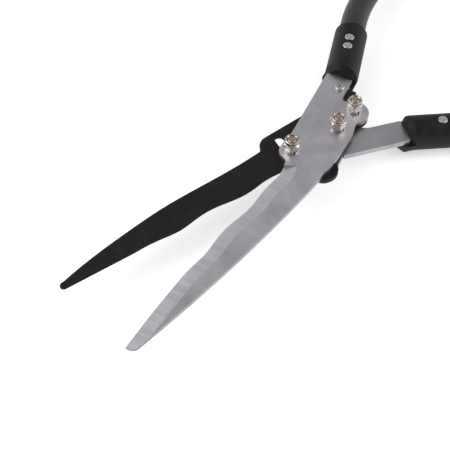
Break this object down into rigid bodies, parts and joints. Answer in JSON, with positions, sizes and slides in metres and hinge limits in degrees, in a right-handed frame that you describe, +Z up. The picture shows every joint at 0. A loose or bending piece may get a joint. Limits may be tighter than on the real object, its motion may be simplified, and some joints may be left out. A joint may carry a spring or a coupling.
{
  "type": "hedge shears",
  "caption": "Compound-action hedge shears: two wavy-edged blades on a bolted pivot plate, a lever arm that drives the lower blade, and two cranked tubular handles with grips.",
  "frame": {"origin": "centre of the footprint's bounding box, on the lowest level of the tool", "axes": "+Z up, square to the blades; +Y along the tool, from the handles to the blade tips; +X to the right, seen from above with the tips ahead"},
  "size_m": [0.3316, 0.6576, 0.0409],
  "materials": {
    "ground_steel": "satin ground and plated",
    "plated_steel": "satin plated",
    "black_coated_steel": "matte non-stick coating",
    "nickel_chrome": "bright plated",
    "zinc_steel": "zinc plated",
    "black_plastic": "fine-textured moulding",
    "tube_coating": "satin powder coat",
    "grip_rubber": "soft matte",
    "buffer_rubber": "soft matte"
  },
  "bodies": {
    "upper_half": {"blade_pivot_bolt": "zinc_steel", "blade_pivot_bush": "zinc_steel", "blade_pivot_lock_nut": "nickel_chrome", "blade_pivot_lock_washer": "nickel_chrome", "buffer": "buffer_rubber", "buffer_screw": "zinc_steel", "guide_bolt": "zinc_steel", "guide_lock_nut": "nickel_chrome", "guide_lock_washer": "nickel_chrome", "guide_washer": "nickel_chrome", "lever_pivot_bolt": "zinc_steel", "lever_pivot_bush": "zinc_steel", "lever_pivot_lock_nut": "nickel_chrome", "lever_pivot_lock_washer": "nickel_chrome", "lever_pivot_washer": "nickel_chrome", "upper_blade": "ground_steel", "upper_collar": "black_plastic", "upper_end_cap": "black_plastic", "upper_grip": "grip_rubber", "upper_rivets": "zinc_steel", "upper_tang_core": "black_plastic", "upper_tube": "tube_coating"},
    "lower_blade": {"lower_blade": "black_coated_steel"},
    "lever": {"lever_arm": "plated_steel", "drive_pin": "zinc_steel", "lower_collar": "black_plastic", "lower_end_cap": "black_plastic", "lower_grip": "grip_rubber", "lower_rivets": "zinc_steel", "lower_tang_core": "black_plastic", "lower_tube": "tube_coating"}
  },
  "joints": [
    {"name": "lever_pivot", "type": "hinge", "parent": "upper_half", "child": "lever", "pos_m": [0.02484, 0.05308, 0.02465], "axis": [0, 0, 1], "range_deg": [0, 20.83]},
    {"name": "blade_pivot", "type": "hinge", "parent": "upper_half", "child": "lower_blade", "pos_m": [0.02824, 0.02668, 0.02465], "axis": [0, 0, 1], "range_deg": [0, 13.5]}
  ],
  "couplings": [
    {"joint": "blade_pivot", "follows": "lever_pivot", "ratio": 0.6481}
  ]
}
